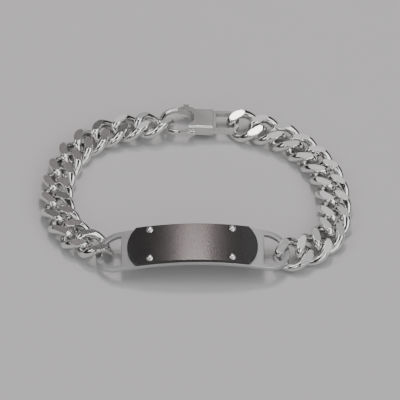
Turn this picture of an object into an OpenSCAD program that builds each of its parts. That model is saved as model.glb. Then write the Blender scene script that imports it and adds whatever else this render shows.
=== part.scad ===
// Chain bracelet with a name plate, closed and lying flat.
// Millimetres. Z is up, the plate is in front at negative Y and the clasp is at the back.
// The origin is on the surface below the middle of the bracelet.

/* [Links] */
// Length of a link along the middle of its wire
link_length = 9.4; // [9.3:0.05:9.5]
// Width of a link across the middle of its wire
link_width = 7.4; // [7.3:0.05:7.5]
// Angle that each end of a link is twisted through
link_twist = 58; // [56:1:60]
// Thickness of the wire across its corners
wire_size = 2.54; // [2.4:0.02:2.56]
// Thickness of a link after its two faces are ground flat
link_height = 4.5; // [4.4:0.05:4.6]
// Distance from one link to the next
link_pitch = 6.2; // [6.18:0.01:6.22]

/* [Plate] */
// Length of the plate with its two loops
plate_length = 53.5; // [53:0.1:54]
// Width of the plate
plate_width = 13.1; // [13:0.1:13.2]
// Thickness of the plate
plate_thick = 1.3; // [1.1:0.1:1.4]
// Radius that the plate's upper face is arched to
arch_radius = 77; // [76:0.5:78]
// Width of the metal around each end slot
loop_bar = 1.5; // [1.3:0.1:1.6]
// Distance between the straight edges of the two slots
slot_apart = 39.4; // [39:0.1:40]
// Height of the inlay's crown above the surface
plate_top = 9.4; // [9.2:0.1:9.6]
// Lean of the plate towards the front
plate_lean = 6; // [5:0.5:7]
// Rise of the plate towards its right end
plate_tilt = 1; // [0.8:0.1:1.2]

/* [Inlay and rivets] */
// Thickness of the black inlay
inlay_thick = 0.9; // [0.7:0.1:1]
// Length of the inlay to the middle of its round ends
inlay_length = 36; // [34:0.5:37]
// How far each end of the inlay bulges out
inlay_bulge = 2.5; // [2:0.1:3]
// Steel left showing along each side of the inlay
inlay_edge = 0.15; // [0.1:0.05:0.4]
// Distance between the rivets along the plate
rivet_along = 22.4; // [22:0.2:24]
// Distance between the rivets across the plate
rivet_across = 9.9; // [9.6:0.1:10]
// Distance of the rivets' middle from the plate's middle
rivet_shift = -0.3; // [-0.4:0.1:0]
// Diameter of a rivet's domed head
rivet_head = 2.2; // [1.8:0.1:2.3]
// Height of a rivet's domed head
rivet_rise = 0.7; // [0.5:0.1:0.8]
// Diameter of a rivet's shank
rivet_shank = 1; // [0.8:0.1:1.1]

/* [Clasp] */
// Height of the clasp's middle above the middle of a link that lies flat
clasp_rise = 1; // [0.95:0.01:1.02]
// Turn of the clasp seen from above
clasp_turn = -2; // [-3:0.5:-1]
// Distance between the inner walls of the claw and of the eye
clasp_inside = 20.4; // [20.2:0.1:20.6]
// Width of the claw
claw_width = 10.2; // [10:0.1:10.4]
// Width of the claw's bar seen from above
claw_bar = 1.3; // [1.2:0.05:1.35]
// Thickness of the claw
claw_thick = 1.8; // [1.6:0.1:1.8]
// Width of the clasp's body
body_width = 7.6; // [7.4:0.1:7.8]
// Thickness of the clasp's body
body_thick = 3.8; // [3.6:0.1:4]
// Width of the eye
eye_width = 7.8; // [7.6:0.1:8]
// Thickness of the eye
eye_thick = 1.6; // [1.4:0.1:1.6]
// Width of the eye's two side bars
eye_side = 0.9; // [0.8:0.1:1]

/* [Lever] */
// Thickness of the lever
lever_thick = 1.8; // [1.6:0.1:1.8]
// Diameter of the pin that the lever turns on
pin_size = 1.2; // [1:0.1:1.3]
// Radius of the lever's boss around its pin
boss_radius = 1.35; // [1.3:0.05:1.4]
// How far the lever swings open
lever_swing = 25; // [15:1:25]

/* [Hidden] */

// Columns of the two tables of links, angles in degrees and the rise in millimetres.
// Heading is the way from the plate to the clasp, seen from above. Roll turns the link on
// its own length, nod lowers its far end, and rise lifts it above a link that lies flat.
HEADING = 0;
ROLL = 1;
NOD = 2;
RISE = 3;
// Each half of the chain has a row for each link, from the plate to the clasp
left_links = [
    [153, 4, 4, 1.05],
    [133, -7, 2, 0.55],
    [113, -6, 1, 0.45],
    [103, -4, 2, 0.4],
    [89, 0, 0, 0],
    [79, 0, 0, 0],
    [69, 0, 0, 0],
    [54, 0, 0, 0],
    [36, 0, 0, 0],
    [20, -5, -3, 0.4],
    [5, -10, -3, 0.75],
    [9, -17, 4, 1.2]
];
right_links = [
    [17, 30, 8, 1.6],
    [38, 22, 6, 1.11],
    [60, 12, 3, 0.8],
    [82, 6, 4, 0.5],
    [91, 0, 0, 0],
    [98, 0, 0, 0],
    [109, 0, 0, 0],
    [123, 0, 0, 0],
    [132, 0, 0, 0],
    [144, 0, 1, 0.4],
    [158, -2, -2, 0.8],
    [169, -15, 0, 1.05]
];
// Middles of the first links, and of the plate's crown, before the whole is centred
left_start = [-29.3, -16.6];
right_start = [25.6, -20.4];
plate_mid = [-2.1, -21];
// Middle of the clasp in that plan, and of the whole bracelet
clasp_mid = [-0.1, 32.35];
whole_mid = [-1.35, 5.6];

stations = 16; // round a link
wire_sides = 6;
fit_gap = 0.05; // between pieces that sit on each other
run_gap = 0.2; // between the lever and the clasp around it
bevel = 0.45; // on the clasp's edges
tiny = 0.01;
steel = [0.8, 0.8, 0.82];
satin_steel = [0.7, 0.7, 0.72];
black = [0.08, 0.08, 0.09];

// One curb link: an oval loop of round wire, twisted along its length and ground flat on both faces
function unit(v) = v / norm(v);
function twisted(x, y, turn) = [x, y * cos(turn), -y * sin(turn)];
function wire_middle(t) = twisted(link_length / 2 * cos(t), link_width / 2 * sin(t), link_twist * cos(t));
function wire_along(t) = unit(wire_middle(t + 1) - wire_middle(t - 1));
function wire_outward(t) =
    let (away = twisted(cos(t) / link_length, sin(t) / link_width, link_twist * cos(t)), along = wire_along(t))
    unit(away - (away * along) * along);
function wire_ring(t) =
    let (out = wire_outward(t), up = cross(wire_along(t), out))
    [for (j = [0:wire_sides - 1]) let (a = j * 360 / wire_sides)
        wire_middle(t) + wire_size / 2 * (cos(a) * out + sin(a) * up)];
function ring_point(i, j) = (i % stations) * wire_sides + j % wire_sides;

module curb_link() {
    points = [for (i = [0:stations - 1]) each wire_ring(i * 360 / stations)];
    faces = [for (i = [0:stations - 1], j = [0:wire_sides - 1]) each [
        [ring_point(i, j), ring_point(i + 1, j + 1), ring_point(i, j + 1)],
        [ring_point(i, j), ring_point(i + 1, j), ring_point(i + 1, j + 1)]]];
    intersection() {
        polyhedron(points, faces);
        cube([2 * link_length, 2 * link_width, link_height], center = true);
    }
}

// Where each link lies: every link hands on to the next halfway between their middles
function way(heading) = [cos(heading), sin(heading)];
function link_middle(rows, start, i) = i == 0 ? start
    : link_middle(rows, start, i - 1)
        + link_pitch / 2 * (way(rows[i - 1][HEADING]) + way(rows[i][HEADING]));

module centred() {
    translate([-whole_mid.x, -whole_mid.y, 0]) children();
}

module chain_link(rows, start, number) {
    row = rows[number - 1];
    middle = link_middle(rows, start, number - 1);
    color(steel) centred()
        translate([middle.x, middle.y, link_height / 2 + row[RISE]])
            rotate([row[ROLL], row[NOD], row[HEADING]]) curb_link();
}

// The plate: everything on it is bent to the same arch, with its crown at the frame's origin
module on_plate() {
    centred() translate([plate_mid.x, plate_mid.y, plate_top])
        rotate([plate_lean, -plate_tilt, 0])
            translate([0, 0, -inlay_thick - fit_gap]) children();
}

module arched(lower, upper) {
    intersection() {
        translate([0, 0, -arch_radius]) rotate([90, 0, 0]) difference() {
            cylinder(r = upper, h = 2 * plate_width, center = true, $fn = 360);
            cylinder(r = lower, h = 3 * plate_width, center = true, $fn = 360);
        }
        translate([0, 0, -arch_radius / 2]) linear_extrude(arch_radius) children();
    }
}

module plate_outline() {
    round = plate_width / 2;
    for (side = [-1, 1]) translate([side * (plate_length / 2 - round), 0]) circle(round, $fn = 96);
    square([plate_length - plate_width, plate_width], center = true);
}

module slot_outline(side) {
    round = plate_width / 2;
    intersection() {
        translate([side * (plate_length / 2 - round), 0]) circle(round - loop_bar, $fn = 96);
        translate([side * (slot_apart / 2 + round), 0]) square(plate_width, center = true);
    }
}

module inlay_outline() {
    half = plate_width / 2 - inlay_edge;
    end_radius = (half * half + inlay_bulge * inlay_bulge) / (2 * inlay_bulge);
    intersection() {
        square([2 * inlay_length, 2 * half], center = true);
        union() {
            square([inlay_length - 2 * inlay_bulge, 2 * half], center = true);
            for (side = [-1, 1]) translate([side * (inlay_length / 2 - end_radius), 0])
                circle(end_radius, $fn = 128);
        }
    }
}

// Corner 1 is left front, 2 left back, 3 right front, 4 right back
module at_rivet(corner) {
    side = corner <= 2 ? -1 : 1;
    row = corner % 2 == 0 ? 1 : -1;
    translate([0, 0, -arch_radius])
        rotate([0, asin((side * rivet_along / 2 + rivet_shift) / arch_radius), 0])
            translate([0, row * rivet_across / 2, arch_radius]) children();
}

module rivet_holes() {
    for (corner = [1:4]) at_rivet(corner)
        cylinder(d = rivet_shank + 4 * fit_gap, h = 4 * plate_thick, center = true, $fn = 48);
}

module plate_base() {
    color(satin_steel) on_plate() difference() {
        arched(arch_radius - plate_thick, arch_radius) difference() {
            plate_outline();
            slot_outline(-1);
            slot_outline(1);
        }
        rivet_holes();
    }
}

module plate_inlay() {
    color(black) on_plate() difference() {
        arched(arch_radius + fit_gap, arch_radius + fit_gap + inlay_thick) inlay_outline();
        rivet_holes();
    }
}

module rivet(corner) {
    dome_radius = (rivet_rise * rivet_rise + rivet_head * rivet_head / 4) / (2 * rivet_rise);
    seat = inlay_thick + 3 * fit_gap;
    color(steel) on_plate() at_rivet(corner) rotate_extrude($fn = 48) {
        intersection() {
            translate([0, seat + rivet_rise - dome_radius]) circle(dome_radius, $fn = 96);
            translate([0, seat]) square([rivet_head, rivet_rise]);
        }
        translate([0, -plate_thick]) square([rivet_shank / 2, plate_thick + seat + tiny]);
    }
}

// The clasp lies between the two last links, its claw on the left
reach = clasp_inside / 2;
bend_radius = (claw_width - claw_bar) / 2; // to the middle of the claw's bar
mouth_radius = bend_radius - claw_bar / 2;
bend_x = mouth_radius - reach;
mouth_end = -1.55; // right end of the mouth
mouth_x = mouth_end - mouth_radius;
body_left = -3.1;
body_right = 3.8;
body_root = 2; // how far the claw's near bar runs on beside the body
pivot = [0.3, 2.1];
tip_radius = 6.8; // from the pivot to the end of the claw
pocket_height = lever_thick + 2 * run_gap;
pin_grip = 0.5; // how deep each end of the pin goes into the body
eye_corner = 2.2;
nub_x = -4; // the nub that a thumb pulls the lever back by
nub_width = 1.6;
nub_height = 1;

module on_clasp() {
    centred() translate([clasp_mid.x, clasp_mid.y, link_height / 2 + clasp_rise])
        rotate([0, 0, clasp_turn]) children();
}

module slab(thick) {
    translate([0, 0, -thick / 2]) linear_extrude(thick) children();
}

module bevelled_outline(wide, high) {
    w = wide / 2;
    h = high / 2;
    polygon([[w - bevel, -h], [w, bevel - h], [w, h - bevel], [w - bevel, h],
        [bevel - w, h], [-w, h - bevel], [-w, bevel - h], [bevel - w, -h]]);
}

// A bevelled bar along X, centred on y
module bar(from_x, to_x, y, wide, high) {
    translate([from_x, y, 0]) rotate([90, 0, 90]) linear_extrude(to_x - from_x)
        bevelled_outline(wide, high);
}

module rounded_end(from_x, to_x, half, corner) {
    translate([from_x, -half]) square([to_x - corner - from_x, 2 * half]);
    translate([from_x, corner - half]) square([to_x - from_x, 2 * (half - corner)]);
    for (side = [-1, 1]) translate([to_x - corner, side * (half - corner)]) circle(corner, $fn = 48);
}

module mouth_outline() {
    translate([bend_x, -mouth_radius]) square([mouth_x - bend_x, 2 * mouth_radius]);
    for (x = [bend_x, mouth_x]) translate([x, 0]) circle(mouth_radius, $fn = 96);
}

// Room for the lever, open to the back, as far as it swings
module pocket_outline() {
    room = boss_radius + run_gap;
    translate(pivot) {
        circle(room, $fn = 48);
        translate([-claw_width, 0]) square([claw_width + room, claw_width]);
        for (turn = [0, lever_swing]) rotate(turn)
            translate([-claw_width, -room]) square([claw_width, claw_width]);
    }
}

// Where the near bar of the claw widens into the body
module shoulder_outline() {
    half = claw_width / 2;
    polygon([[body_left - body_root, -bend_radius], [body_left - body_root, -half], [body_left, -half],
        [body_left + body_root, -body_width / 2], [body_left + body_root, -bend_radius + claw_bar]]);
}

module clasp_body() {
    color(steel) on_clasp() {
        translate([bend_x, 0, 0]) rotate([0, 0, 90]) rotate_extrude(angle = 180, $fn = 96)
            translate([bend_radius, 0]) bevelled_outline(claw_bar, claw_thick);
        bar(bend_x, body_left + body_root, -bend_radius, claw_bar, claw_thick);
        difference() {
            bar(bend_x, body_left, bend_radius, claw_bar, claw_thick);
            translate(pivot) cylinder(r = tip_radius, h = body_thick, center = true, $fn = 96);
        }
        difference() {
            union() {
                bar(body_left, body_right, 0, body_width, body_thick);
                slab(claw_thick) shoulder_outline();
            }
            slab(2 * body_thick) mouth_outline();
            slab(pocket_height) pocket_outline();
        }
        translate(pivot) cylinder(d = pin_size, h = pocket_height + 2 * pin_grip, center = true, $fn = 48);
        slab(eye_thick) difference() {
            rounded_end(body_right - eye_side, reach + eye_side, eye_width / 2, eye_corner);
            rounded_end(body_right + eye_side, reach, eye_width / 2 - eye_side, eye_corner - eye_side);
        }
    }
}

module arm_outline() {
    outer = claw_width / 2;
    far_left = pivot.x - tip_radius;
    root = boss_radius - 2 * fit_gap; // half the arm's width where it runs into the boss
    difference() {
        intersection() {
            union() {
                polygon([[far_left, outer], [nub_x + nub_width, outer], [pivot.x, pivot.y + root],
                    [pivot.x, pivot.y - root], [far_left, pivot.y - root]]);
                translate([nub_x, outer]) square([nub_width, 2 * nub_height], center = true);
            }
            translate(pivot) circle(tip_radius - run_gap, $fn = 96);
        }
        mouth_outline();
    }
}

module clasp_lever() {
    color(steel) on_clasp() difference() {
        union() {
            slab(lever_thick) arm_outline();
            translate(pivot) cylinder(r = boss_radius, h = lever_thick + run_gap, center = true, $fn = 48);
        }
        translate(pivot) cylinder(r = pin_size / 2 + 2 * fit_gap, h = body_thick, center = true, $fn = 48);
    }
}

plate_base();
plate_inlay();
for (i = [1:4]) rivet(i);
clasp_body();
clasp_lever();
for (i = [1:12]) {
    chain_link(left_links, left_start, i);
    chain_link(right_links, right_start, i);
}
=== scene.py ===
import math
import bmesh
import bpy
import numpy as np
from mathutils import Matrix, Vector


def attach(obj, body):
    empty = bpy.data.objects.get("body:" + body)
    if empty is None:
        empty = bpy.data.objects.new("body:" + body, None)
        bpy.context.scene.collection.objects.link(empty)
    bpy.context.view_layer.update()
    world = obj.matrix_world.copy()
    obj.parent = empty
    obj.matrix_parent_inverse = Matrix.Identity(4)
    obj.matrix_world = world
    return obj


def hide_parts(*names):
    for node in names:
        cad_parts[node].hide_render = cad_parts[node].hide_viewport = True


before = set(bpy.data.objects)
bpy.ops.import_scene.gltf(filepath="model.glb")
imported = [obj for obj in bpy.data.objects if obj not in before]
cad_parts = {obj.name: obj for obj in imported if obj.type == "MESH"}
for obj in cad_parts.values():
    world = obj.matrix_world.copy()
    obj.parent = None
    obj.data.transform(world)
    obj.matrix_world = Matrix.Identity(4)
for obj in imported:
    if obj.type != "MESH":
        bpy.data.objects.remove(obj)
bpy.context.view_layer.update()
mm = 0.001
print("frame loaded with", len(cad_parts), "nodes")


# A node's output. Sums on it add Math nodes to its tree.
class Signal:
    def __init__(self, tree, socket):
        self.tree = tree
        self.socket = socket

    def maths(self, operation, *values):
        return addNode(self.tree, "ShaderNodeMath", {"operation": operation}, dict(enumerate(values)))

    def __add__(self, other):
        return self.maths("ADD", self, other)

    def __sub__(self, other):
        return self.maths("SUBTRACT", self, other)

    def __rsub__(self, other):
        return self.maths("SUBTRACT", other, self)

    def __mul__(self, other):
        return self.maths("MULTIPLY", self, other)

    def __truediv__(self, other):
        return self.maths("DIVIDE", self, other)

    def __pow__(self, other):
        return self.maths("POWER", self, other)

    __radd__ = __add__
    __rmul__ = __mul__


# Any node: its settings go in first, then the values or links of its sockets
def addNode(tree, kind, settings=None, inputs=None, output=0):
    node = tree.nodes.new(kind)
    for name, value in (settings or {}).items():
        setattr(node, name, value)
    for name, value in (inputs or {}).items():
        if isinstance(value, Signal):
            tree.links.new(value.socket, node.inputs[name])
        else:
            node.inputs[name].default_value = value
    return Signal(tree, node.outputs[output]) if node.outputs else None


def partOf(tree, vector, axis):
    return addNode(tree, "ShaderNodeSeparateXYZ", {}, {"Vector": vector}, axis)


def vectorOf(tree, x, y, z):
    return addNode(tree, "ShaderNodeCombineXYZ", {}, {"X": x, "Y": y, "Z": z})


# Finishes

def newFinish(name):
    finish = bpy.data.materials.new(name)
    finish.use_nodes = True
    finish.node_tree.nodes.clear()
    return finish, finish.node_tree


def closeFinish(tree, inputs):
    surface = addNode(tree, "ShaderNodeBsdfPrincipled", {}, inputs)
    addNode(tree, "ShaderNodeOutputMaterial", {}, {"Surface": surface})


# A value as a grey with a slight tint
def grey(tree, level, tint=(1.0, 1.0, 1.0)):
    return addNode(tree, "ShaderNodeVectorMath", {"operation": "SCALE"}, {0: tint, "Scale": level})


def noise(tree, place, scale, detail, roughness=0.5):
    return addNode(tree, "ShaderNodeTexNoise", {},
                   {"Vector": place, "Scale": scale, "Detail": detail, "Roughness": roughness})


# Noise drawn out into lines, with a scale for each axis
def streaks(tree, place, scale, detail, roughness=0.5):
    drawn = addNode(tree, "ShaderNodeMapping", {}, {"Vector": place, "Scale": scale})
    return noise(tree, drawn, 1, detail, roughness)


# A noise as ups and downs, this far from lowest to highest
def varied(signal, span):
    return (signal - 0.5) * span


def bump(tree, height, strength, distance):
    return addNode(tree, "ShaderNodeBump", {},
                   {"Strength": strength, "Distance": distance, "Height": height})


def objectPlace(tree):
    return addNode(tree, "ShaderNodeTexCoord", output="Object")


def attribute(tree, name, output):
    return addNode(tree, "ShaderNodeAttribute", {"attribute_name": name}, {}, output)


# Only the peaks of the hairlines are rough
def scratches(look, hairs):
    return (hairs ** look["hairContrast"]) * look["hairRoughness"]


warmSteel = (1.0, 0.995, 0.985)

linkSteelLook = {
    "brightness": 0.8,
    "brightnessVaries": 0.06,
    "roughness": 0.12,                  # of the polished round wire
    "roughnessVaries": 0.06,
    # painted shade: the flats' colour is darkened by this much, standing in for their dimmer reflection
    "groundPaintedShade": 0.05,
    "groundRoughness": 0.2,             # of the flats
    "groundRoughnessVaries": 0.12,
    "cloudScale": 260,
    "lineScale": (300, 9000, 300),      # grinding lines on the flats
    "lineDepth": 0.004 * mm,
    "hairScale": (1500, 12000, 9000),   # hairlines on the round wire
    "hairContrast": 6,
    "hairRoughness": 0.8,
    "hairHeight": 0.3,                  # as a share of the lines' height
    "bump": 0.4,
}


def linkSteel(look):
    finish, tree = newFinish("linkSteel")
    onLink = attribute(tree, "onLink", "Vector")
    ground = attribute(tree, "ground", "Fac")       # 1 on the flats
    cloud = noise(tree, onLink, look["cloudScale"], detail=3)
    lines = streaks(tree, onLink, look["lineScale"], detail=2)
    hairs = streaks(tree, onLink, look["hairScale"], detail=1)
    # The flats' colour is darkened here: painted shade for their dimmer reflection
    level = look["brightness"] + varied(cloud, look["brightnessVaries"]) - ground * look["groundPaintedShade"]
    wireRoughness = look["roughness"] + varied(cloud, look["roughnessVaries"]) + scratches(look, hairs)
    flatRoughness = look["groundRoughness"] + varied(lines, look["groundRoughnessVaries"])
    height = lines * ground + hairs * look["hairHeight"] * (1 - ground)
    closeFinish(tree, {
        "Base Color": grey(tree, level, warmSteel),
        "Metallic": 1.0,
        "Roughness": wireRoughness * (1 - ground) + flatRoughness * ground,
        "Normal": bump(tree, height, look["bump"], look["lineDepth"])})
    return finish


claspSteelLook = {
    "name": "claspSteel",
    # darker than the same steel on the links and rivets: painted shade, standing in for the clasp's dimmer
    # reflection
    "brightness": 0.66,
    "brightnessVaries": 0.06,
    "roughness": 0.2,
    "roughnessVaries": 0.08,
    "cloudScale": 300,
    "hairScale": (600, 12000, 9000),
    "hairContrast": 6,
    "hairRoughness": 0.4,
    "hairDepth": 0.002 * mm,
    "bump": 0.3,
}

rivetSteelLook = {
    **claspSteelLook,
    "name": "rivetSteel",
    "brightness": 0.8,
    "roughness": 0.24,
}


def polishedSteel(look):
    finish, tree = newFinish(look["name"])
    place = objectPlace(tree)
    cloud = noise(tree, place, look["cloudScale"], detail=3)
    hairs = streaks(tree, place, look["hairScale"], detail=2)
    level = look["brightness"] + varied(cloud, look["brightnessVaries"])
    closeFinish(tree, {
        "Base Color": grey(tree, level, warmSteel),
        "Metallic": 1.0,
        "Roughness": look["roughness"] + varied(cloud, look["roughnessVaries"]) + scratches(look, hairs),
        "Normal": bump(tree, hairs, look["bump"], look["hairDepth"])})
    return finish


# Roughness that varies with the clouds and with the brushed grain
def brushedRoughness(look, cloud, grain):
    clouded = look["roughness"] + varied(cloud, look["cloudRoughness"])
    return clouded + varied(grain, look["grainRoughness"])


plateSteelLook = {
    # darker than the same steel on the links: painted shade, standing in for the plate's dimmer reflection
    "brightness": 0.58,
    "cloudBrightness": 0.05,
    "grainBrightness": 0.08,
    "roughness": 0.305,
    "cloudRoughness": 0.05,
    "grainRoughness": 0.12,
    "cloudScale": 180,
    "grainScale": (250, 9000, 2500),    # brushed along the plate
    "grainDepth": 0.006 * mm,
    "bump": 0.5,
}


def plateSteel(look):
    finish, tree = newFinish("plateSteel")
    place = objectPlace(tree)
    cloud = noise(tree, place, look["cloudScale"], detail=3)
    grain = streaks(tree, place, look["grainScale"], detail=3, roughness=0.6)
    clouded = look["brightness"] + varied(cloud, look["cloudBrightness"])
    closeFinish(tree, {
        "Base Color": grey(tree, clouded + varied(grain, look["grainBrightness"])),
        "Metallic": 1.0,
        "Roughness": brushedRoughness(look, cloud, grain),
        "Normal": bump(tree, grain, look["bump"], look["grainDepth"])})
    return finish


inlayLook = {
    "darkness": 0.012,
    "darknessVaries": 0.4,              # as a share of it
    "tint": (1.0, 0.95, 0.95),
    "roughness": 0.275,
    "cloudRoughness": 0.03,
    "grainRoughness": 0.04,
    "cloudScale": 220,
    "grainScale": (9000, 200, 2500),    # brushed across the plate
    "grainDepth": 0.004 * mm,
    "bump": 0.06,
    "coat": 0.4,
    "coatRoughness": 0.12,
}


def inlayBlack(look):
    finish, tree = newFinish("inlayBlack")
    place = objectPlace(tree)
    cloud = noise(tree, place, look["cloudScale"], detail=3)
    grain = streaks(tree, place, look["grainScale"], detail=3, roughness=0.6)
    level = (1 + varied(cloud, look["darknessVaries"])) * look["darkness"]
    closeFinish(tree, {
        "Base Color": grey(tree, level, look["tint"]),
        "Metallic": 0.0,
        "Roughness": brushedRoughness(look, cloud, grain),
        "Normal": bump(tree, grain, look["bump"], look["grainDepth"]),
        "Coat Weight": look["coat"],
        "Coat Roughness": look["coatRoughness"]})
    return finish


# Meshes

def pointsOf(mesh):
    points = np.zeros(len(mesh.vertices) * 3)
    mesh.vertices.foreach_get("co", points)
    return points.reshape(-1, 3)


# Centre and main axes of a closed mesh, as a matrix, from the tetrahedra between its middle
# and its triangles. The longest axis comes first. The first two have their largest part
# positive, and the third makes the frame right-handed.
def mainFrame(mesh):
    mesh.calc_loop_triangles()
    corners = pointsOf(mesh)[[list(t.vertices) for t in mesh.loop_triangles]]
    middle = corners.mean((0, 1))
    a, b, c = (corners[:, side] - middle for side in range(3))
    volumes = np.einsum("ij,ij->i", a, np.cross(b, c)) / 6
    total = volumes.sum()
    centre = (volumes[:, None] * (a + b + c)).sum(0) / 4 / total
    spread = sum(np.einsum("i,ij,ik->jk", volumes, p, p) for p in (a, b, c, a + b + c)) / 20
    axes = np.linalg.eigh(spread - total * np.outer(centre, centre))[1][:, ::-1]
    axes = axes * np.sign(axes[np.abs(axes).argmax(0), range(3)])
    axes[:, 2] = np.cross(axes[:, 0], axes[:, 1])
    place = Matrix(axes.tolist()).to_4x4()
    place.translation = Vector(middle + centre)
    return place


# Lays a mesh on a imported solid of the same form
def seatOn(mesh, node):
    mesh.transform(mainFrame(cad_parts[node].data) @ mainFrame(mesh).inverted())


def smoothMesh(mesh, sharpAngle):
    mesh.shade_smooth()
    mesh.set_sharp_from_angle(angle=math.radians(sharpAngle))


def addObject(name, data):
    piece = bpy.data.objects.new(name, data)
    bpy.context.scene.collection.objects.link(piece)
    return piece


def finalMesh(piece):
    graph = bpy.context.evaluated_depsgraph_get()
    return bpy.data.meshes.new_from_object(piece.evaluated_get(graph))


# Turns an object with its modifiers into a plain mesh
def settle(piece):
    mesh = finalMesh(piece)
    piece.modifiers.clear()
    piece.data = mesh
    return piece


softEdges = {
    "sharpAngle": 30,           # edges that turn more than this are rounded
    "segments": 2,
    "joinGap": 0.002 * mm,      # joins the corners that a narrow face squeezes together
    "flatWeight": 100,          # keeps the flat faces flat in shading
}


def softenEdges(piece, width, sharpAngle=softEdges["sharpAngle"]):
    smoothMesh(piece.data, sharpAngle)
    edge = piece.modifiers.new("edges", "BEVEL")
    edge.width = width
    edge.segments = softEdges["segments"]
    edge.limit_method = "ANGLE"
    edge.angle_limit = math.radians(sharpAngle)
    edge.miter_outer = "MITER_ARC"
    joined = piece.modifiers.new("joined", "WELD")
    joined.merge_threshold = softEdges["joinGap"]
    even = piece.modifiers.new("even", "WEIGHTED_NORMAL")
    even.keep_sharp = True
    even.weight = softEdges["flatWeight"]
    return settle(piece)


def fit(piece, finish, body, nodes):
    piece.data.materials.clear()
    piece.data.materials.append(finish)
    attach(piece, body)
    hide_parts(*nodes)
    print(piece.name, "has", sum(len(p.vertices) - 2 for p in piece.data.polygons), "triangles")


# Geometry Nodes

def newTree(name, inputs):
    tree = bpy.data.node_groups.new(name, "GeometryNodeTree")
    tree.interface.new_socket("Geometry", in_out="INPUT", socket_type="NodeSocketGeometry")
    for label, kind in inputs.items():
        tree.interface.new_socket(label, in_out="INPUT", socket_type="NodeSocket" + kind)
    tree.interface.new_socket("Geometry", in_out="OUTPUT", socket_type="NodeSocketGeometry")
    given = tree.nodes.new("NodeGroupInput")
    return tree, {socket.name: Signal(tree, socket) for socket in given.outputs if socket.name}


def closeTree(tree, shape, finish):
    whole = addNode(tree, "GeometryNodeRealizeInstances", {}, {"Geometry": shape})
    coloured = addNode(tree, "GeometryNodeSetMaterial", {}, {"Geometry": whole, "Material": finish})
    addNode(tree, "NodeGroupOutput", {}, {"Geometry": coloured})


# Runs a tree on a piece. Values that name none of its inputs are passed over.
def runTree(piece, tree, values):
    modifier = piece.modifiers.new(tree.name, "NODES")
    modifier.node_group = tree
    for socket in tree.interface.items_tree:
        if socket.in_out == "INPUT" and socket.name in values:
            modifier[socket.identifier] = values[socket.name]


# One point at each place, which carries how its shape is turned
def pointsAt(name, places):
    mesh = bpy.data.meshes.new(name)
    mesh.from_pydata([place.translation for place in places], [], [])
    turns = mesh.attributes.new("turn", "FLOAT_VECTOR", "POINT")
    for point, place in zip(turns.data, places):
        point.vector = place.to_euler()
    return addObject(name, mesh)


def standOnPoints(tree, points, shape):
    turn = addNode(tree, "GeometryNodeInputNamedAttribute", {"data_type": "FLOAT_VECTOR"}, {"Name": "turn"})
    rotation = addNode(tree, "FunctionNodeEulerToRotation", {}, {"Euler": turn})
    return addNode(tree, "GeometryNodeInstanceOnPoints", {},
                   {"Points": points, "Instance": shape, "Rotation": rotation})


def booleanOf(tree, operation, *shapes):
    cut = tree.nodes.new("GeometryNodeMeshBoolean")
    cut.operation = operation
    cut.solver = "EXACT"
    for shape in shapes:
        tree.links.new(shape.socket, cut.inputs["Mesh 2"])
    return Signal(tree, cut.outputs["Mesh"])


def slabOf(tree, side, height):
    return addNode(tree, "GeometryNodeMeshCube", {}, {"Size": vectorOf(tree, side, side, height)})


def moved(tree, shape, height):
    place = vectorOf(tree, 0, 0, height)
    return addNode(tree, "GeometryNodeTransform", {}, {"Geometry": shape, "Translation": place})


def stored(tree, shape, name, kind, domain, value):
    return addNode(tree, "GeometryNodeStoreNamedAttribute", {"data_type": kind, "domain": domain},
                   {"Geometry": shape, "Name": name, "Value": value})


# The chain: round wire on a twisted oval, ground flat above and below

chain = {
    "linksInHalf": 12,
    "Link length": 9.4 * mm,
    "Link width": 7.4 * mm,
    "Twist": math.radians(58),      # at each end
    "Wire radius": 1.22 * mm,
    "Ground height": 4.5 * mm,
    "Steps round a link": 72,
    "Steps round the wire": 24,
    "Join gap": 0.025 * mm,
    "edge": 0.05 * mm,
    "sharpAngle": 25,
}


def chainTree():
    tree, given = newTree("curbLinks", {
        "Link length": "Float", "Link width": "Float", "Twist": "Float", "Wire radius": "Float",
        "Ground height": "Float", "Steps round a link": "Int", "Steps round the wire": "Int",
        "Join gap": "Float", "Material": "Material"})
    here = addNode(tree, "GeometryNodeInputPosition")
    # A ring of radius 1 is drawn out into an oval and twisted about its length
    ring = addNode(tree, "GeometryNodeCurvePrimitiveCircle", {},
                   {"Resolution": given["Steps round a link"], "Radius": 1.0})
    along = partOf(tree, here, "X")
    turn = along * given["Twist"]
    across = partOf(tree, here, "Y") * given["Link width"] / 2
    twisted = vectorOf(tree, along * given["Link length"] / 2, across * turn.maths("COSINE", turn),
                       across * turn.maths("SINE", turn) * -1)
    loop = addNode(tree, "GeometryNodeSetPosition", {}, {"Geometry": ring, "Position": twisted})
    section = addNode(tree, "GeometryNodeCurvePrimitiveCircle", {},
                      {"Resolution": given["Steps round the wire"], "Radius": given["Wire radius"]})
    wire = addNode(tree, "GeometryNodeCurveToMesh", {}, {"Curve": loop, "Profile Curve": section})
    # What a slab doesn't hold is ground off
    slab = slabOf(tree, given["Link length"] * 2, given["Ground height"])
    link = booleanOf(tree, "INTERSECT", wire, slab)
    link = addNode(tree, "GeometryNodeMergeByDistance", {},
                   {"Geometry": link, "Distance": given["Join gap"]})
    link = stored(tree, link, "onLink", "FLOAT_VECTOR", "POINT", here)
    height = partOf(tree, here, "Z")
    fromMiddle = height.maths("ABSOLUTE", height)
    isGround = height.maths("GREATER_THAN", fromMiddle, given["Ground height"] * 0.4999)    # nearly half
    link = stored(tree, link, "ground", "FLOAT", "FACE", isGround)
    closeTree(tree, standOnPoints(tree, given["Geometry"], link), given["Material"])
    return tree


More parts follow.
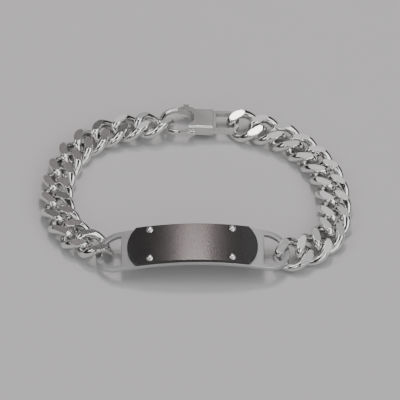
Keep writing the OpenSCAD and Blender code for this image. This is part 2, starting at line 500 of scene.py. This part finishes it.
def buildChain():
    numbers = range(1, chain["linksInHalf"] + 1)
    nodes = [f"link_{half}_{number}" for half in ("left", "right") for number in numbers]
    piece = pointsAt("chain_links", [mainFrame(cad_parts[node].data) for node in nodes])
    finish = linkSteel(linkSteelLook)
    runTree(piece, chainTree(), {**chain, "Material": finish})
    softenEdges(settle(piece), chain["edge"], chain["sharpAngle"])
    fit(piece, finish, "bracelet", nodes)


# The plate and its inlay: flat outlines with softened edges, bent to the arch

plate = {
    "length": 53.5 * mm,
    "width": 13.1 * mm,
    "thick": 1.3 * mm,
    "archRadius": 77 * mm,          # of the plate's top
    "loopBar": 1.5 * mm,
    "slotApart": 39.4 * mm,         # between the straight sides of the two slots
    "edge": 0.16 * mm,
    "inlayThick": 0.9 * mm,
    "inlayLength": 36 * mm,
    "inlayBulge": 2.5 * mm,         # of its round ends
    "inlayInset": 0.15 * mm,        # from the plate's sides
    "inlayEdge": 0.12 * mm,
    "seatGap": 0.05 * mm,           # below the inlay
    "rivetAlong": 22.4 * mm,
    "rivetAcross": 9.9 * mm,
    "rivetShift": -0.3 * mm,
    "holeSize": 1.2 * mm,
    "holeSides": 24,
    "endSteps": 48,
    "inlayEndSteps": 40,
    "edgeSteps": 3,
    "slice": 0.8 * mm,              # along the arch
    "joinGap": 0.0005 * mm,
    "sharpAngle": 50,
}


def arc(centre, radius, start, end, steps):
    angles = [math.radians(start + (end - start) * step / steps) for step in range(steps + 1)]
    return [(centre[0] + radius * math.cos(a), centre[1] + radius * math.sin(a)) for a in angles]


# An arc at the right end, and the same one half a turn on
def bothEnds(along, radius, swing, steps):
    return [arc((along, 0), radius, -swing, swing, steps),
            arc((-along, 0), radius, 180 - swing, 180 + swing, steps)]


def holeOutlines():
    step = 360 / plate["holeSides"]
    return [arc((x * plate["rivetAlong"] / 2 + plate["rivetShift"], y * plate["rivetAcross"] / 2),
                plate["holeSize"] / 2, 0, 360 - step, plate["holeSides"] - 1)
            for x in (-1, 1) for y in (-1, 1)]


def plateOutlines():
    endRadius = plate["width"] / 2
    along = plate["length"] / 2 - endRadius
    right, left = bothEnds(along, endRadius, 90, plate["endSteps"])
    slotRadius = endRadius - plate["loopBar"]
    straight = plate["slotApart"] / 2 - along
    swing = math.degrees(math.acos(straight / slotRadius))
    slots = bothEnds(along, slotRadius, swing, plate["endSteps"])
    return [right + left] + slots + holeOutlines()


def inlayOutlines():
    half = plate["width"] / 2 - plate["inlayInset"]
    bulge = plate["inlayBulge"]
    radius = (half ** 2 + bulge ** 2) / (2 * bulge)
    swing = math.degrees(math.asin(half / radius))
    along = plate["inlayLength"] / 2 - radius
    right, left = bothEnds(along, radius, swing, plate["inlayEndSteps"])
    return [right + left] + holeOutlines()


# A flat plate with these outlines and softened edges, its thickness along Z
def softPlate(name, outlines, thick, edge):
    curve = bpy.data.curves.new(name, "CURVE")
    curve.dimensions = "2D"
    curve.fill_mode = "BOTH"
    curve.extrude = thick / 2 - edge
    curve.bevel_depth = edge
    curve.bevel_resolution = plate["edgeSteps"]
    curve.offset = -edge
    for outline in outlines:
        spline = curve.splines.new("POLY")
        spline.points.add(len(outline) - 1)
        for point, (x, y) in zip(spline.points, outline):
            point.co = (x, y, 0, 1)
        spline.use_cyclic_u = True
    piece = addObject(name, curve)
    mesh = finalMesh(piece)
    bpy.data.objects.remove(piece)
    bpy.data.curves.remove(curve)
    return mesh


# Slices the mesh along X and bends it, so that its middle layer has this radius
def bendToArch(mesh, radius):
    work = bmesh.new()
    work.from_mesh(mesh)
    bmesh.ops.remove_doubles(work, verts=work.verts, dist=plate["joinGap"])
    half = max(v.co.x for v in work.verts)
    slices = int(half / plate["slice"])
    for number in range(-slices, slices + 1):
        bmesh.ops.bisect_plane(work, geom=work.verts[:] + work.edges[:] + work.faces[:],
                               plane_co=(number * plate["slice"], 0, 0), plane_no=(1, 0, 0))
    for vertex in work.verts:
        vertex.co.z = math.sqrt((radius + vertex.co.z) ** 2 - vertex.co.x ** 2) - radius
    bmesh.ops.recalc_face_normals(work, faces=work.faces)
    work.to_mesh(mesh)
    work.free()


def bentPiece(name, node, outlines, thick, edge, radius):
    mesh = softPlate(name, outlines, thick, edge)
    bendToArch(mesh, radius)
    seatOn(mesh, node)
    smoothMesh(mesh, plate["sharpAngle"])
    return addObject(name, mesh)


def buildPlate():
    thick = plate["thick"]
    radius = plate["archRadius"] - thick / 2
    base = bentPiece("plate_body", "plate_base", plateOutlines(), thick, plate["edge"], radius)
    fit(base, plateSteel(plateSteelLook), "bracelet", ["plate_base"])
    thick = plate["inlayThick"]
    radius = plate["archRadius"] + plate["seatGap"] + thick / 2
    strip = bentPiece("plate_black", "plate_inlay", inlayOutlines(), thick, plate["inlayEdge"], radius)
    fit(strip, inlayBlack(inlayLook), "bracelet", ["plate_inlay"])


# The rivets: a domed head on a shank, with the dome's top at the point

rivets = {
    "count": 4,
    "Head size": 2.2 * mm,
    "Head rise": 0.7 * mm,
    "Shank size": 1 * mm,
    "Shank length": 2.35 * mm,
    "Dome segments": 64,
    "Dome rings": 48,
    "Shank sides": 32,
    "edge": 0.04 * mm,
}


# The top of a rivet, with Z along it
def topPlace(mesh):
    place = mainFrame(mesh)
    along = Vector(place.col[0][:3])
    top = max((vertex.co - place.translation).dot(along) for vertex in mesh.vertices)
    turn = along.to_track_quat("Z", "Y").to_matrix().to_4x4()
    return Matrix.Translation(place.translation + along * top) @ turn


def rivetTree():
    tree, given = newTree("domedRivets", {
        "Head size": "Float", "Head rise": "Float", "Shank size": "Float", "Shank length": "Float",
        "Dome segments": "Int", "Dome rings": "Int", "Shank sides": "Int", "Material": "Material"})
    half = given["Head size"] / 2
    rise = given["Head rise"]
    domeRadius = (half * half + rise * rise) / rise / 2
    ball = addNode(tree, "GeometryNodeMeshUVSphere", {}, {
        "Segments": given["Dome segments"], "Rings": given["Dome rings"], "Radius": domeRadius})
    # The head is the top of a ball, down to half the slab's height
    slab = slabOf(tree, half * 3, rise * 2)
    head = booleanOf(tree, "INTERSECT", moved(tree, ball, domeRadius * -1), slab)
    # The shank reaches half way up into the head
    shank = addNode(tree, "GeometryNodeMeshCylinder", {}, {
        "Vertices": given["Shank sides"], "Radius": given["Shank size"] / 2,
        "Depth": given["Shank length"] + rise / 2})
    shank = moved(tree, shank, (given["Shank length"] + rise * 1.5) * -0.5)
    rivet = booleanOf(tree, "UNION", head, shank)
    closeTree(tree, standOnPoints(tree, given["Geometry"], rivet), given["Material"])
    return tree


def buildRivets():
    nodes = [f"rivet_{number}" for number in range(1, rivets["count"] + 1)]
    piece = pointsAt("rivet_heads", [topPlace(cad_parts[node].data) for node in nodes])
    finish = polishedSteel(rivetSteelLook)
    runTree(piece, rivetTree(), {**rivets, "Material": finish})
    softenEdges(settle(piece), rivets["edge"])
    fit(piece, finish, "bracelet", nodes)


# The clasp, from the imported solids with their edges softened

clasp = {
    "bodyEdge": 0.2 * mm,
    "leverEdge": 0.15 * mm,
    "joinGap": 0.001 * mm,
    "flatAngle": 1,             # faces that turn less than this become one
}


def softCopy(name, node, edge):
    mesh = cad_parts[node].data.copy()
    mesh.name = name
    work = bmesh.new()
    work.from_mesh(mesh)
    bmesh.ops.remove_doubles(work, verts=work.verts, dist=clasp["joinGap"])
    bmesh.ops.dissolve_limit(work, angle_limit=math.radians(clasp["flatAngle"]),
                             verts=work.verts, edges=work.edges)
    work.to_mesh(mesh)
    work.free()
    return softenEdges(addObject(name, mesh), edge)


def buildClasp():
    finish = polishedSteel(claspSteelLook)
    body = softCopy("clasp_frame", "clasp_body", clasp["bodyEdge"])
    fit(body, finish, "bracelet", ["clasp_body"])
    lever = softCopy("clasp_trigger", "clasp_lever", clasp["leverEdge"])
    fit(lever, finish, "clasp_lever", ["clasp_lever"])


# Floor, light and camera

studio = {
    "aim": (1.35 * mm, -5.6 * mm, 4.5 * mm),
    "span": 400 / 3.6 * mm,      # width of the view at the aim
    "elevation": 45,
    "distance": 1.6,
    "sensor": 36,
    "nearest": 0.1,
    "farthest": 10,
    "floorSize": 1.6,
    "floorGrey": 0.55,
    "floorVaries": 0.01,
    "floorScale": 40,
    "floorRoughness": 0.6,
    "worldGrey": 0.03,
}


def addCamera():
    data = bpy.data.cameras.new("camera")
    data.sensor_width = studio["sensor"]
    data.lens = studio["sensor"] * studio["distance"] / studio["span"]
    data.clip_start = studio["nearest"]
    data.clip_end = studio["farthest"]
    camera = addObject("camera", data)
    rise = math.radians(studio["elevation"])
    back = Vector((0, -math.cos(rise), math.sin(rise)))
    camera.location = Vector(studio["aim"]) + back * studio["distance"]
    camera.rotation_euler = (math.radians(90) - rise, 0, 0)
    bpy.context.scene.camera = camera


def addFloor():
    half = studio["floorSize"] / 2
    corners = [(-half, -half, 0), (half, -half, 0), (half, half, 0), (-half, half, 0)]
    mesh = bpy.data.meshes.new("floor")
    mesh.from_pydata(corners, [], [(0, 1, 2, 3)])
    floor = addObject("floor", mesh)
    finish, tree = newFinish("paleFloor")
    cloud = noise(tree, objectPlace(tree), studio["floorScale"], detail=3)
    level = studio["floorGrey"] + varied(cloud, studio["floorVaries"])
    closeFinish(tree, {"Base Color": grey(tree, level), "Roughness": studio["floorRoughness"]})
    mesh.materials.append(finish)


# Soft lights that look at the bracelet. Azimuth 0 is behind it and 90 is on its right.
softLights = {
    "top": dict(azimuth=10, elevation=83, distance=1.2, width=0.7, height=0.4, brightness=3.6),
    "left": dict(azimuth=-102, elevation=43, distance=1.2, width=0.5, height=0.85, brightness=2.2),
    "leftFront": dict(azimuth=-150, elevation=24, distance=1.4, width=0.4, height=0.4, brightness=2.4),
    "rightFront": dict(azimuth=138, elevation=40, distance=2.2, width=1.1, height=1.4, brightness=1.4),
    "right": dict(azimuth=106, elevation=40, distance=1.2, width=0.6, height=0.7, brightness=2),
    "rightLow": dict(azimuth=157, elevation=18, distance=1.4, width=0.95, height=0.5, brightness=2.4),
    "rightBack": dict(azimuth=58, elevation=50, distance=1.2, width=0.5, height=0.45, brightness=1),
    "plateRight": dict(azimuth=33, elevation=50, distance=1.2, width=0.16, height=0.25, brightness=0.6),
    "leftBack": dict(azimuth=-56, elevation=50, distance=1.2, width=0.5, height=0.4, brightness=0.8),
    "back": dict(azimuth=0, elevation=46, distance=1.2, width=1.0, height=0.3, brightness=0.08),
    "front": dict(azimuth=180, elevation=50, distance=1.9, width=0.7, height=0.35, brightness=2.2),
    "backLow": dict(azimuth=-4, elevation=20, distance=1.2, width=0.6, height=0.45, brightness=0.9),
    "backRight": dict(azimuth=17, elevation=43, distance=0.42, width=0.16, height=0.1, brightness=0.9),
    "sheen": dict(azimuth=-2.5, elevation=65, distance=1.0, width=0.18, height=0.16, brightness=31,
                  colour=(1.0, 0.86, 0.86)),
}


def addSoftLight(name, azimuth, elevation, distance, width, height, brightness, colour=(1, 1, 1)):
    data = bpy.data.lights.new(name, "AREA")
    data.shape = "RECTANGLE"
    data.size = width
    data.size_y = height
    data.energy = brightness * math.pi * width * height
    data.color = colour
    lamp = addObject(name, data)
    turn = math.radians(azimuth)
    rise = math.radians(elevation)
    way = Vector((math.sin(turn) * math.cos(rise), math.cos(turn) * math.cos(rise), math.sin(rise)))
    lamp.location = way * distance
    lamp.rotation_euler = way.to_track_quat("Z", "Y").to_euler()


def addLight():
    world = bpy.data.worlds.new("studio")
    world.use_nodes = True
    background = world.node_tree.nodes["Background"]
    background.inputs["Color"].default_value = (studio["worldGrey"],) * 3 + (1,)
    bpy.context.scene.world = world
    for name, light in softLights.items():
        addSoftLight(name, **light)


buildChain()
print("chain done")
buildPlate()
print("plate done")
buildRivets()
print("rivets done")
buildClasp()
print("clasp done")
addCamera()
addFloor()
addLight()
print("studio done")

bpy.context.view_layer.update()
print("scene done")
